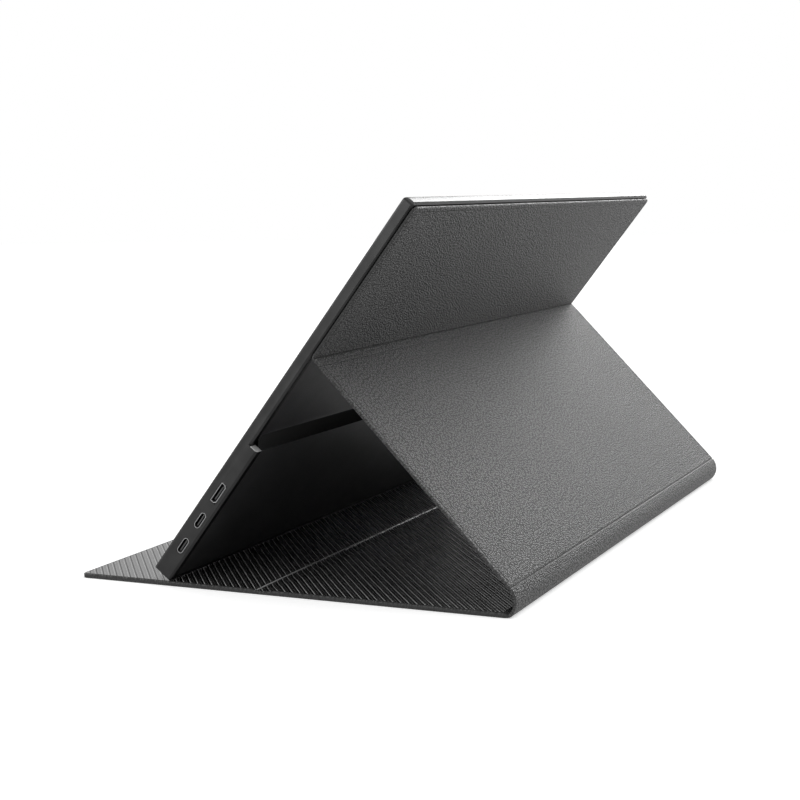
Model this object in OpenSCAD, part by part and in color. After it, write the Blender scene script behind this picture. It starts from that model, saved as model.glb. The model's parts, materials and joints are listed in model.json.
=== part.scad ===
// Portable monitor standing on its folded cover.
// X is the width, with +X at the user's right hand. The screen faces -Y and up.
// The origin is the middle of the base's underside, on the ground.

/* [Monitor] */
// Width of the monitor
mon_w = 356; // [340:0.5:372]
// Height of the monitor, along the screen
mon_h = 224; // [214:0.5:236]
// Lean of the screen above the ground, in degrees
lean = 51.6; // [48:0.1:56]
// Thickness of the upper part
thin_t = 5.5; // [5.3:0.1:6]
// Thickness of the lower part, which holds the boards
thick_t = 10; // [9.8:0.1:11]
// Height of the thick part, from the bottom edge
thick_h = 84; // [80:0.5:92]
// Length of the hollow sweep from the thick part up to the thin part
sweep_h = 8; // [4:0.5:12]
// Radius of the outline's corners, seen from the front
corner_r = 2; // [1:0.25:4]
// Radius of the front edge at the top, seen from the side
top_round = 1.6; // [0.8:0.1:2]
// Bevel on the rear edges of the side frame
bevel = 1; // [0.5:0.1:1.4]
// Bevel on the lower rear edge, which stands on the base
foot_bevel = 0.4; // [0.2:0.1:0.8]
// Width of the side frame, seen from behind
frame_wall = 4.5; // [4:0.1:5]
// Thickness of the rear shell
shell_t = 0.9; // [0.7:0.1:1.1]

/* [Screen] */
// Black border at each side of the picture
side_border = 5.9; // [5:0.1:8]
// Black border below the picture
chin = 24.4; // [22:0.1:28]
// Black border above the picture
top_border = 6; // [5:0.1:8]
// Thickness of the front bezel
bezel_t = 0.8; // [0.6:0.1:1]
// Thickness of the liquid crystal panel
lcd_t = 1.3; // [1:0.1:1.4]
// Thickness of the diffuser sheets
diffuser_t = 0.4; // [0.3:0.1:0.5]
// Thickness of the light guide
guide_t = 0.9; // [0.7:0.1:1]
// Thickness of the steel tray behind the light guide
tray_t = 0.3; // [0.2:0.1:0.4]
// How far the panel reaches under the bezel
tuck = 2.6; // [2:0.1:3]

/* [Ports and keys] */
// Height of the lower USB-C port's centre above the bottom edge
usb_low_s = 20.2; // [19:0.1:22]
// Height of the upper USB-C port's centre
usb_high_s = 36.7; // [34:0.1:39]
// Height of the mini-HDMI port's centre
hdmi_s = 54.2; // [52:0.1:60]
// Length of a USB-C port's shell
usb_w = 8.94; // [8.5:0.01:9.2]
// Height of a USB-C port's shell
usb_h = 3.26; // [3:0.01:3.3]
// Length of the mini-HDMI port's shell
hdmi_w = 11.2; // [11:0.1:11.6]
// Height of the mini-HDMI port's shell
hdmi_h = 3.2; // [3:0.1:3.3]
// Wall of the ports' shells
port_wall = 0.3; // [0.2:0.05:0.4]
// Depth of the ports' bodies
port_depth = 9.5; // [8:0.1:10.5]
// Height of the audio jack above the bottom edge
jack_s = 24; // [20:0.5:26]
// Radius of the audio jack's bore
jack_r = 1.8; // [1.78:0.01:1.85]
// Depth of the audio jack's bore
jack_bore = 14; // [13:0.5:15]
// Height of the menu rocker's centre
rocker_s = 44; // [42:0.5:46]
// Length of the menu rocker
rocker_w = 18; // [14:0.5:19]
// Height of the power button's centre
power_s = 66; // [63:0.5:68]
// Length of the power button
power_w = 9; // [7:0.5:10]
// Height of the keys' caps, across the frame's thickness
key_h = 2.6; // [2.2:0.1:3]
// How far the keys stand out of the side
key_out = 0.4; // [0.3:0.05:0.6]
// Clearance round a key
key_gap = 0.3; // [0.25:0.05:0.4]
// Gap between a pressed piece and its switch
press_gap = 0.45; // [0.4:0.05:0.6]

/* [Boards] */
// Width of the main board
main_w = 108; // [90:1:116]
// Width of the key board
keys_w = 34; // [30:1:40]
// Thickness of the boards
board_t = 1; // [0.8:0.1:1]
// Lower edge of the boards above the monitor's bottom edge
board_s0 = 12; // [11:0.5:13]
// Upper edge of the boards
board_s1 = 76; // [74:0.5:78]
// Radius of the board screws
screw_r = 0.7; // [0.6:0.05:0.9]

/* [Cover] */
// Thickness of the back panel and the strut
panel_t = 1.6; // [1.4:0.1:1.8]
// Thickness of the base panels
base_t = 2.2; // [1.8:0.1:2.4]
// Thickness of the outer skin
skin_t = 0.4; // [0.3:0.05:0.45]
// Thickness of the lining
lining_t = 0.4; // [0.3:0.05:0.45]
// Width of the skin's turned edge round the lining
hem = 1.3; // [0.8:0.1:2]
// Gap between the monitor's back and the back panel
hold_gap = 0.3; // [0.2:0.05:0.5]
// How far the back panel's top edge lies below the monitor's
top_inset = 1.2; // [0:0.1:4]
// Height of the main fold, along the monitor
fold_s = 138.4; // [130:0.1:142]
// Length of the strut, from the main fold to its crease
strut_len = 135.6; // [133:0.1:142]
// Outer radius of the rounded spine
spine_r = 9.3; // [9:0.1:10]
// Angle of the spine's heel below its centre
heel_ang = 52.5; // [48:0.5:56]
// Angle of the spine's crease above its centre
crease_ang = 42.5; // [38:0.5:46]
// Distance from the rear base panel's end to the spine's centre
heel_in = 3.6; // [3.2:0.1:4]
// Length of the rear base panel
rear_len = 116.2; // [110:0.1:124]
// Length of the soft fold between the base panels
fold_len = 10.9; // [8:0.1:14]
// Length of the front base panel
front_len = 98.2; // [90:0.1:106]
// Radius of the cover's free corners
cover_r = 3; // [2:0.25:6]
// Gap between a stiff panel and the line it folds on
fold_back = 1; // [0.8:0.1:1.4]
// Gap that keeps the standing edge off the base's lining
rest_gap = 0.05; // [0.02:0.01:0.1]

/* [Magnets] */
// Number of magnets in the back panel
magnets = 6; // [4:1:8]
// Length of a magnet
magnet_w = 20; // [12:1:30]
// Height of a magnet
magnet_h = 8; // [6:1:12]
// Distance from the back panel's top edge to the magnets' centres
magnet_in = 22; // [16:1:40]

/* [Hidden] */
$fn = 48;
// Overshoot of a cut past the face it opens
cut = 1;

// Depths below the screen's face
view_w = mon_w - 2 * side_border;
view_h = mon_h - top_border - chin;
lcd_back = bezel_t + lcd_t;
diffuser_back = lcd_back + diffuser_t;
guide_back = diffuser_back + guide_t;
tray_back = guide_back + tray_t;
thin_in = thin_t - shell_t;
thick_in = thick_t - shell_t;
// The panel module, which hides its lower edge under the chin
module_w = view_w + 2 * tuck;
module_drop = 6;
lcd_s0 = chin - module_drop;
lcd_s1 = chin + view_h + tuck;
strip_in = 1.6;
strip_room = 1;
guide_s0 = lcd_s0 + strip_in + strip_room;
// Clearance between pieces that are set into each other
set_gap = 0.1;
pocket_w = module_w + 2 * set_gap;
shell_w = mon_w - 2 * frame_wall - 2 * set_gap;
bottom_wall = 2.6;
shell_s0 = bottom_wall + set_gap;
shell_seat = 1.5;
shell_s1 = lcd_s1 - shell_seat;
// Boards behind the ports
boss_h = 0.8;
board_back = thick_in - boss_h;
board_front = board_back - board_t;
board_gap = 0.7;
board_x1 = mon_w / 2 - frame_wall - board_gap;
port_in = 0.15;
port_x1 = mon_w / 2 - port_in;
usb_t = board_front - usb_h / 2;
hdmi_t = board_front - hdmi_h / 2;
key_drop = 2.1;
key_t = board_front - key_drop;
jack_body_t = 5;
jack_t = thick_in - jack_body_t / 2;
nose_wall = 0.7;
jack_nose_r = jack_r + nose_wall;
jack_len = jack_bore + 1;
wall_in = mon_w / 2 - frame_wall;
flange_in = 0.2;
flange_x = wall_in - key_gap - flange_in;
flange_t = 0.8;
flange_rim = 0.6;
switch_x = flange_x - flange_t - press_gap;
boss_r = 2;
screw_gap = 0.05;
screw_head = 0.4;
boss_in = 5;
port_room = 8;

// The cover's lines, seen from the side
hinge_t = thin_t + hold_gap + panel_t;
base_len = front_len + fold_len + rear_len;
heel_y = base_len / 2;
tip_y = -base_len / 2;
fold_y1 = heel_y - rear_len;
fold_y0 = fold_y1 - fold_len;
foot_z = base_t + rest_gap + (thick_t - foot_bevel) * cos(lean);
spine_y = heel_y - heel_in;
spine_z = spine_r * sin(heel_ang);
crease_y = spine_y + spine_r * cos(crease_ang);
crease_z = spine_z + spine_r * sin(crease_ang);
hinge_z = foot_z + fold_s * sin(lean) - hinge_t * cos(lean);
strut_ang = asin((hinge_z - crease_z) / strut_len);
hinge_y = crease_y - strut_len * cos(strut_ang);
foot_y = hinge_y - fold_s * cos(lean) - hinge_t * sin(lean);
fold_turn = 180 - lean - strut_ang;
heel_back = 7;
crease_back = 6;
back_len = mon_h - fold_s - top_inset;

// Placing: on the monitor, Y runs up the screen and Z out of it
module at_monitor() { translate([0, foot_y, foot_z]) rotate([lean, 0, 0]) children(); }
// On the back panel, Y runs up from the main fold and Z from the outer skin inwards
module at_back_panel() { translate([0, hinge_y, hinge_z]) rotate([lean, 0, 0]) children(); }
// On the strut, Y runs down from the main fold and Z from the outer skin inwards
module at_strut() {
    translate([0, hinge_y, hinge_z]) rotate([-strut_ang, 0, 0]) mirror([0, 0, 1]) children();
}

// A block between two points of X, Y and depth below the screen's face
module block(x0, x1, y0, y1, t0, t1) {
    translate([x0, y0, -t1]) cube([x1 - x0, y1 - y0, t1 - t0]);
}
// Points of an arc
function arc(cx, cy, r, a0, a1, n = 8) =
    [for (i = [0 : n]) let (a = a0 + (a1 - a0) * i / n) [cx + r * cos(a), cy + r * sin(a)]];
// A shape drawn in Y and Z, extruded along X, centred
module across(w) { rotate([90, 0, 90]) linear_extrude(w, center = true) children(); }
// A bar with round ends along Y, lying along X from x0 to x1
module pill(x0, x1, y, t, w, h) {
    block(x0, x1, y - w / 2 + h / 2, y + w / 2 - h / 2, t - h / 2, t + h / 2);
    for (side = [-1, 1])
        translate([x0, y + side * (w - h) / 2, -t]) rotate([0, 90, 0]) cylinder(h = x1 - x0, r = h / 2);
}

// Outline of the monitor seen from the front
module front_outline() {
    polygon(concat(
        arc(mon_w / 2 - corner_r, corner_r, corner_r, -90, 0, 6),
        arc(mon_w / 2 - corner_r, mon_h - corner_r, corner_r, 0, 90, 6),
        arc(-mon_w / 2 + corner_r, mon_h - corner_r, corner_r, 90, 180, 6),
        arc(-mon_w / 2 + corner_r, corner_r, corner_r, 180, 270, 6)));
}
// Outline of the monitor seen from the side, with the ledge square
module side_outline() {
    polygon(concat(
        [[0, -thick_t + foot_bevel], [foot_bevel, -thick_t], [thick_h, -thick_t],
         [thick_h, -thin_t], [mon_h - bevel, -thin_t], [mon_h, -thin_t + bevel]],
        arc(mon_h - top_round, -top_round, top_round, 0, 90, 6),
        [[0, 0]]));
}
// Whole body of the monitor, without the sweep, bevelled along its rear side edges
module monitor_body() {
    difference() {
        intersection() {
            across(mon_w) side_outline();
            translate([0, 0, -thick_t - cut]) linear_extrude(thick_t + 2 * cut) front_outline();
        }
        for (side = [-1, 1]) {
            edge_bevel(side, -cut, thick_h, thick_t);
            edge_bevel(side, thick_h, mon_h + cut, thin_t);
        }
    }
}
module edge_bevel(side, s0, s1, t) {
    x = side * mon_w / 2;
    translate([0, s1, 0]) rotate([90, 0, 0]) linear_extrude(s1 - s0)
        polygon([[x - side * bevel, -t], [x, -t + bevel], [x + side * cut, -t + bevel],
                 [x + side * cut, -t - cut], [x - side * bevel, -t - cut]]);
}

module front_bezel() color([0.05, 0.05, 0.055]) at_monitor() difference() {
    intersection() {
        monitor_body();
        block(-mon_w, mon_w, -cut, mon_h + cut, -cut, bezel_t);
    }
    block(-view_w / 2, view_w / 2, chin, chin + view_h, -cut, bezel_t + cut);
}

module lcd_panel() color([0.03, 0.035, 0.05]) at_monitor()
    block(-module_w / 2, module_w / 2, lcd_s0, lcd_s1, bezel_t, lcd_back);

module diffuser_sheets() color([0.93, 0.94, 0.95]) at_monitor()
    block(-module_w / 2, module_w / 2, guide_s0, lcd_s1, lcd_back, diffuser_back);

module light_guide() color([0.85, 0.92, 0.95, 0.8]) at_monitor()
    block(-module_w / 2, module_w / 2, guide_s0, lcd_s1, diffuser_back, guide_back);

led_count = 42;
led_w = 3;
led_s = 0.7;
module led_strip() color([0.95, 0.9, 0.6]) at_monitor() {
    block(-module_w / 2, module_w / 2, lcd_s0 + strip_in, guide_s0 - led_s, diffuser_back, guide_back);
    for (i = [0 : led_count - 1]) {
        x = (i - (led_count - 1) / 2) * view_w / led_count;
        block(x - led_w / 2, x + led_w / 2, guide_s0 - led_s, guide_s0, diffuser_back, guide_back);
    }
}

module panel_tray() color([0.62, 0.63, 0.65]) at_monitor()
    block(-module_w / 2, module_w / 2, lcd_s0 + strip_in, lcd_s1, guide_back, tray_back);

flex_t = 0.2;
flex_w = 26;
flex_count = 8;
flex_lap = 2.5;
driver_t = 0.8;
driver_s0 = 4.5;
driver_s1 = 14;
driver_back = lcd_back + flex_t + driver_t;
driver_chip_w = 14;
driver_chip_t = 0.6;
driver_rim = 2;
module driver_board() color([0.1, 0.35, 0.2]) at_monitor() {
    block(-view_w / 2, view_w / 2, driver_s0, driver_s1, lcd_back + flex_t, driver_back);
    for (share = [-0.32, -0.12, 0.1, 0.24])
        block(share * view_w, share * view_w + driver_chip_w, driver_s0 + driver_rim, driver_s1 - driver_rim,
            driver_back, driver_back + driver_chip_t);
}
module panel_flexes() color([0.75, 0.5, 0.15]) at_monitor()
    for (i = [0 : flex_count - 1]) {
        x = (i - (flex_count - 1) / 2) * view_w / flex_count;
        block(x - flex_w / 2, x + flex_w / 2, driver_s1 - flex_lap, lcd_s0 + strip_in - set_gap,
            lcd_back, lcd_back + flex_t);
    }
cable_w = 30;
cable_x = board_x1 - main_w / 2;
cable_gap = 0.8;
cable_lap = 8;
cable_s = board_s0 - cable_gap;
module panel_cable() color([0.2, 0.2, 0.22]) at_monitor() {
    block(cable_x, cable_x + cable_w, driver_s0 + driver_rim / 2, cable_s,
        driver_back, driver_back + flex_t);
    block(cable_x, cable_x + cable_w, cable_s - flex_t, cable_s, driver_back, board_front);
    block(cable_x, cable_x + cable_w, cable_s - flex_t, board_s0 + cable_lap,
        board_front - flex_t, board_front);
}

// Sizes of the cut round a port or key
port_gap = 0.15;
speaker_w = 36;
speaker_h = 5.6;
speaker_in = 65;
speaker_x = mon_w / 2 - frame_wall - speaker_in - speaker_w;
slot_w = 1.4;
slots = 10;
slot_in = 0.6;
slot_h = 3;
module side_frame() color([0.42, 0.43, 0.45]) at_monitor() difference() {
    intersection() {
        monitor_body();
        block(-mon_w, mon_w, -cut, mon_h + cut, bezel_t, thick_t + cut);
    }
    // Pocket of the panel module, then the opening that the rear shell closes
    block(-pocket_w / 2, pocket_w / 2, bottom_wall, lcd_s1 + set_gap, -cut, tray_back);
    block(-wall_in, wall_in, bottom_wall, shell_s1 + set_gap, tray_back - cut, thick_t + cut);
    for (s = [usb_low_s, usb_high_s])
        pill(wall_in - cut, mon_w / 2 + cut, s, usb_t, usb_w + 2 * port_gap, usb_h + 2 * port_gap);
    block(wall_in - cut, mon_w / 2 + cut, hdmi_s - hdmi_w / 2 - port_gap, hdmi_s + hdmi_w / 2 + port_gap,
        hdmi_t - hdmi_h / 2 - port_gap, hdmi_t + hdmi_h / 2 + port_gap);
    pill(-mon_w / 2 - cut, -wall_in + cut, rocker_s, key_t, rocker_w + 2 * key_gap, key_h + 2 * key_gap);
    pill(-mon_w / 2 - cut, -wall_in + cut, power_s, key_t, power_w + 2 * key_gap, key_h + 2 * key_gap);
    translate([-mon_w / 2 - cut, jack_s, -jack_t]) rotate([0, 90, 0])
        cylinder(h = frame_wall + 2 * cut, r = jack_nose_r + set_gap);
    // Sound slots in the bottom edge, one row under each speaker
    for (side = [-1, 1], i = [0 : slots - 1]) {
        x = side * (speaker_x + speaker_w / 2) + (i - (slots - 1) / 2) * 2 * slot_w;
        block(x - slot_w / 2, x + slot_w / 2, -cut, bottom_wall + cut,
            tray_back + slot_in, tray_back + slot_in + slot_h);
    }
}

// Back of the monitor: thin sheet above, hollow sweep, thick tub below, bosses inside.
// Points of the sweep, a quarter ellipse round a centre behind the thin part
function sweep(rs, rt, a0, a1) = [for (p = arc(0, 0, 1, a0, a1, 10))
    [thick_h + sweep_h - rs * p[0], -thick_t + rt * p[1]]];
step_t = thick_t - thin_t;
sweep_in = asin(shell_t / (step_t + shell_t));
module shell_outline() {
    polygon(concat(
        [[shell_s0, -thick_t]], sweep(sweep_h, step_t, 0, 90),
        [[shell_s1, -thin_t], [shell_s1, -thin_in]],
        sweep(sweep_h + shell_t, step_t + shell_t, 90, sweep_in),
        [[shell_s0, -thick_in]]));
}
board_rows = [board_s0 + boss_in, board_s1 - boss_in];
boss_x = [board_x1 - main_w + boss_in, board_x1 - boss_in - port_room, -board_x1 + keys_w - boss_in];
module bosses(r, t0, t1) {
    for (x = boss_x, s = board_rows) translate([x, s, -t1]) cylinder(h = t1 - t0, r = r);
}
module rear_shell() color([0.09, 0.09, 0.095]) at_monitor() {
    across(shell_w) shell_outline();
    difference() {
        bosses(boss_r, board_back, thick_in);
        bosses(screw_r + screw_gap, board_back - cut, thick_in + cut);
    }
}

chip_t = 1.2;
// Chips of the main board: place as shares of its width and height, and size
chips = [[0.3, 0.36, 15], [0.55, 0.62, 12], [0.2, 0.72, 8], [0.7, 0.3, 9]];
module main_board() color([0.08, 0.3, 0.18]) at_monitor() {
    difference() {
        block(board_x1 - main_w, board_x1, board_s0, board_s1, board_front, board_back);
        bosses(screw_r + screw_gap, board_front - cut, board_back + cut);
    }
    for (c = chips) {
        x = board_x1 - main_w + c[0] * main_w;
        y = board_s0 + c[1] * (board_s1 - board_s0);
        block(x, x + c[2], y, y + c[2], board_front - chip_t, board_front);
    }
}
strip_tail = 9;
strip_w = 6;
board_mid = (board_s0 + board_s1) / 2;
module board_cable() color([0.85, 0.85, 0.82]) at_monitor()
    block(-board_x1 + keys_w - strip_tail, board_x1 - main_w + strip_tail, board_mid - strip_w / 2,
        board_mid + strip_w / 2, board_front - flex_t, board_front);

// A side switch, whose nose faces the key
switch_w = 4.4;
switch_d = 4;
nose_w = 2;
nose_h = 1.6;
nose_out = 0.4;
module side_switch(s) {
    block(-switch_x + nose_out, -switch_x + switch_d, s - switch_w / 2, s + switch_w / 2,
        tray_back + set_gap, board_front);
    block(-switch_x, -switch_x + nose_out, s - nose_w / 2, s + nose_w / 2,
        key_t - nose_h / 2, key_t + nose_h / 2);
}
// Where the rocker's two switches lie from its ends, and the post that it tips on
rocker_in = 3;
post_w = 1;
post_gap = 0.15;
jack_room = 3.1;
module key_board() color([0.08, 0.3, 0.18]) at_monitor() {
    difference() {
        block(-board_x1, -board_x1 + keys_w, board_s0, board_s1, board_front, board_back);
        block(-board_x1 - cut, -mon_w / 2 + jack_len + key_gap,
            jack_s - jack_room, jack_s + jack_room, 0, thick_t);
        bosses(screw_r + screw_gap, board_front - cut, board_back + cut);
    }
    side_switch(power_s);
    for (side = [-1, 1]) side_switch(rocker_s + side * (rocker_w / 2 - rocker_in));
    block(-flange_x + flange_t + post_gap, -switch_x + switch_d,
        rocker_s - post_w / 2, rocker_s + post_w / 2,
        key_t - nose_h / 2, board_front);
}

hdmi_chamfer = 1;
module hdmi_profile(inset) {
    w = hdmi_w / 2 - inset;
    h = hdmi_h / 2 - inset;
    polygon([[-w, h], [w, h], [w, -h + hdmi_chamfer], [w - hdmi_chamfer, -h],
             [-w + hdmi_chamfer, -h], [-w, -h + hdmi_chamfer]]);
}
// A profile drawn along the edge and across the thickness, extruded inwards from x1
module port_extrude(s, t, x1, depth) {
    translate([x1 - depth, s, -t]) rotate([90, 0, 90]) linear_extrude(depth) children();
}
port_floor = 1;
tongue_t = 0.7;
tongue_in = 0.8;
usb_tongue_w = 6.7;
hdmi_tongue_w = 8;
module tongue(s, t, w) {
    block(port_x1 - port_depth + port_floor, port_x1 - tongue_in, s - w / 2, s + w / 2,
        t - tongue_t / 2, t + tongue_t / 2);
}
module hdmi_port() color([0.78, 0.78, 0.8]) at_monitor() {
    difference() {
        port_extrude(hdmi_s, hdmi_t, port_x1, port_depth) hdmi_profile(0);
        port_extrude(hdmi_s, hdmi_t, port_x1 + cut, port_depth + cut - port_floor) hdmi_profile(port_wall);
    }
    tongue(hdmi_s, hdmi_t, hdmi_tongue_w);
}
module usb_c_port(s) {
    difference() {
        pill(port_x1 - port_depth, port_x1, s, usb_t, usb_w, usb_h);
        pill(port_x1 - port_depth + port_floor, port_x1 + cut, s, usb_t,
            usb_w - 2 * port_wall, usb_h - 2 * port_wall);
    }
    tongue(s, usb_t, usb_tongue_w);
}
module usb_c_upper() color([0.78, 0.78, 0.8]) at_monitor() usb_c_port(usb_high_s);
module usb_c_lower() color([0.78, 0.78, 0.8]) at_monitor() usb_c_port(usb_low_s);

jack_w = 6;
jack_in = 0.1;
module audio_jack() color([0.12, 0.12, 0.13]) at_monitor() difference() {
    union() {
        translate([-mon_w / 2 + jack_in, jack_s, -jack_t]) rotate([0, 90, 0])
            cylinder(h = frame_wall + 1, r = jack_nose_r);
        block(-wall_in + flange_in, -mon_w / 2 + jack_len, jack_s - jack_w / 2, jack_s + jack_w / 2,
            jack_t - jack_body_t / 2, jack_t + jack_body_t / 2);
    }
    translate([-mon_w / 2 + jack_in - cut, jack_s, -jack_t]) rotate([0, 90, 0])
        cylinder(h = jack_bore + cut - jack_in, r = jack_r);
}

// A flat speaker box
module speaker(x0) {
    block(x0, x0 + speaker_w, shell_s0 + shell_t, shell_s0 + shell_t + speaker_h,
        tray_back + set_gap, thick_in);
}
module speaker_right() color([0.15, 0.15, 0.16]) at_monitor() speaker(speaker_x);
module speaker_left() color([0.15, 0.15, 0.16]) at_monitor() speaker(-speaker_x - speaker_w);

// Steel plates behind the rear shell, one behind each magnet
plate_t = 0.3;
plate_rim = 2;
magnet_side = 15;
function magnet_x(i) = (i - (magnets - 1) / 2) * (shell_w - 2 * magnet_side) / magnets;
magnet_s = mon_h - top_inset - magnet_in;
module hold_plates() color([0.6, 0.6, 0.62]) at_monitor() for (i = [0 : magnets - 1])
    block(magnet_x(i) - magnet_w / 2 - plate_rim, magnet_x(i) + magnet_w / 2 + plate_rim,
        magnet_s - magnet_h / 2 - plate_rim, magnet_s + magnet_h / 2 + plate_rim,
        thin_in - plate_t, thin_in);

module board_screws() color([0.7, 0.7, 0.72]) at_monitor() {
    bosses(screw_r, board_front, thick_in - set_gap);
    bosses(screw_r * 2, board_front - screw_head, board_front);
}
foam_w = 8;
foam_in = 6;
module foam_strips() color([0.2, 0.2, 0.2]) at_monitor() {
    for (side = [-1, 0, 1]) block(side * shell_w / 3 - foam_w / 2, side * shell_w / 3 + foam_w / 2,
        thick_h + sweep_h + foam_in, magnet_s - magnet_h, tray_back, thin_in);
}

// A key: the cap through the wall, and the flange that keeps it in
module side_key(s, w) {
    pill(-mon_w / 2 - key_out, -flange_x, s, key_t, w, key_h);
    block(-flange_x, -flange_x + flange_t, s - w / 2 - flange_rim, s + w / 2 + flange_rim,
        tray_back + set_gap, key_t + key_h / 2 + flange_rim);
}
module power_button() color([0.45, 0.46, 0.48]) at_monitor() side_key(power_s, power_w);
module menu_rocker() color([0.45, 0.46, 0.48]) at_monitor() side_key(rocker_s, rocker_w);

// Outline of a cover panel from y0 to y1, with its far corners rounded by r
module panel_outline(w, y0, y1, r) {
    polygon(concat([[-w / 2, y0], [w / 2, y0]],
        arc(w / 2 - r, y1 - r, r, 0, 90, 6), arc(-w / 2 + r, y1 - r, r, 90, 180, 6)));
}
// Outer skin of a panel: a tray that holds the board and the lining
module panel_skin(y0, y1, t, r) {
    difference() {
        linear_extrude(t) panel_outline(mon_w, y0, y1, r);
        translate([0, 0, skin_t]) linear_extrude(t)
            panel_outline(mon_w - 2 * hem, y0 + hem, y1 - hem, max(r - hem, 0.2));
    }
}
// A layer inside the skin's turned edge
module panel_layer(y0, y1, z0, z1, r) {
    translate([0, 0, z0]) linear_extrude(z1 - z0)
        panel_outline(mon_w - 2 * hem, y0 + hem, y1 - hem, max(r - hem, 0.2));
}
skin_grey = [0.3, 0.3, 0.31];
strut_grey = [0.45, 0.45, 0.46];
lining_grey = [0.55, 0.55, 0.56];
board_brown = [0.55, 0.45, 0.33];

module back_panel_skin() color(skin_grey) at_back_panel()
    panel_skin(fold_back, back_len, panel_t, cover_r);
module back_panel_board() color(board_brown) at_back_panel() difference() {
    panel_layer(fold_back, back_len, skin_t, panel_t - lining_t, cover_r);
    for (i = [0 : magnets - 1]) magnet(i, magnet_w, magnet_h, cut);
}
module back_panel_lining() color(lining_grey) at_back_panel()
    panel_layer(fold_back, back_len, panel_t - lining_t, panel_t, cover_r);
module magnet(i, w, h, over) {
    translate([magnet_x(i) - w / 2, back_len - magnet_in - h / 2, skin_t - over])
        cube([w, h, panel_t - lining_t - skin_t + 2 * over]);
}
module hold_magnets() color([0.5, 0.5, 0.52]) at_back_panel()
    for (i = [0 : magnets - 1]) magnet(i, magnet_w, magnet_h, 0);

// Soft leather of the main fold, bent round the inner side
module main_fold() color(skin_grey) at_back_panel() across(mon_w) polygon(concat(
    [[0, 0], [fold_back, 0], [fold_back, panel_t]],
    arc(0, 0, panel_t, 90, 90 + fold_turn, 8),
    [[panel_t * cos(90 + fold_turn) + fold_back * cos(180 + fold_turn),
      panel_t * sin(90 + fold_turn) + fold_back * sin(180 + fold_turn)],
     [fold_back * cos(180 + fold_turn), fold_back * sin(180 + fold_turn)]]));

module strut_skin() color(strut_grey) at_strut()
    panel_skin(fold_back, strut_len - fold_back, panel_t, 0.2);
module strut_board() color(board_brown) at_strut()
    panel_layer(fold_back, strut_len - fold_back, skin_t, panel_t - lining_t, 0.2);
module strut_lining() color(lining_grey) at_strut()
    panel_layer(fold_back, strut_len - fold_back, panel_t - lining_t, panel_t, 0.2);

// A strip of the rounded spine between two radii and two angles
module spine_strip(w, r0, r1, a0, a1) {
    translate([0, spine_y, spine_z]) across(w)
        polygon(concat(arc(0, 0, r1, a0, a1, 12), arc(0, 0, r0, a1, a0, 12)));
}
spine_a0 = -heel_ang + heel_back;
spine_a1 = crease_ang - crease_back;
spine_in = spine_r - panel_t;
// Hair's breadth between the crease's leather and the spine, in degrees
fold_seam = 0.05;
hem_ang = hem / spine_r * 180 / PI;
module spine_skin() color(strut_grey) difference() {
    spine_strip(mon_w, spine_in, spine_r, spine_a0, spine_a1);
    spine_strip(mon_w - 2 * hem, spine_in - cut, spine_r - skin_t, spine_a0 + hem_ang, spine_a1 - hem_ang);
}
module spine_board() color(board_brown)
    spine_strip(mon_w - 2 * hem, spine_in + lining_t, spine_r - skin_t,
        spine_a0 + hem_ang, spine_a1 - hem_ang);
module spine_lining() color(lining_grey)
    spine_strip(mon_w - 2 * hem, spine_in, spine_in + lining_t, spine_a0 + hem_ang, spine_a1 - hem_ang);

// A point on the spine's circle, in Y and Z
function on_spine(r, a) = [spine_y + r * cos(a), spine_z + r * sin(a)];
// A point on the strut, w down from the main fold and v below its outer skin
function on_strut(w, v) = [hinge_y + w * cos(strut_ang) - v * sin(strut_ang),
                           hinge_z - w * sin(strut_ang) - v * cos(strut_ang)];
module crease_fold() color(strut_grey) across(mon_w) polygon([
    on_strut(strut_len - fold_back, 0), on_strut(strut_len - fold_back, panel_t),
    on_spine(spine_in, spine_a1 + fold_seam), on_spine(spine_r, spine_a1 + fold_seam),
    on_spine(spine_r, spine_a1 + crease_back / 2), on_spine(spine_r, crease_ang)]);
module heel_fold() color(strut_grey) across(mon_w) polygon([
    [heel_y, 0], on_spine(spine_r, -heel_ang), on_spine(spine_r, spine_a0 - heel_back / 2),
    on_spine(spine_r, spine_a0), on_spine(spine_in, spine_a0), [heel_y, base_t]]);

module at_rear() { translate([0, heel_y, 0]) mirror([0, 1, 0]) children(); }
module base_rear_skin() color(skin_grey) at_rear() panel_skin(0, rear_len, base_t, 0.2);
module base_rear_board() color(board_brown) at_rear()
    panel_layer(0, rear_len, skin_t, base_t - lining_t, 0.2);
module base_rear_lining() color(lining_grey) at_rear()
    panel_layer(0, rear_len, base_t - lining_t, base_t, 0.2);
module base_fold() color(skin_grey)
    translate([-mon_w / 2, fold_y0, 0]) cube([mon_w, fold_len, base_t]);
module at_front() { translate([0, fold_y0, 0]) mirror([0, 1, 0]) children(); }
module base_front_skin() color(skin_grey) at_front() panel_skin(0, front_len, base_t, cover_r);
module base_front_board() color(board_brown) at_front()
    panel_layer(0, front_len, skin_t, base_t - lining_t, cover_r);
module base_front_lining() color(lining_grey) at_front()
    panel_layer(0, front_len, base_t - lining_t, base_t, cover_r);

front_bezel();
lcd_panel();
diffuser_sheets();
light_guide();
led_strip();
panel_tray();
driver_board();
panel_flexes();
panel_cable();
side_frame();
rear_shell();
main_board();
board_cable();
key_board();
hdmi_port();
usb_c_upper();
usb_c_lower();
audio_jack();
speaker_right();
speaker_left();
hold_plates();
board_screws();
foam_strips();
power_button();
menu_rocker();
back_panel_skin();
back_panel_board();
back_panel_lining();
hold_magnets();
main_fold();
strut_skin();
strut_board();
strut_lining();
crease_fold();
spine_skin();
spine_board();
spine_lining();
heel_fold();
base_rear_skin();
base_rear_board();
base_rear_lining();
base_fold();
base_front_skin();
base_front_board();
base_front_lining();
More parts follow.
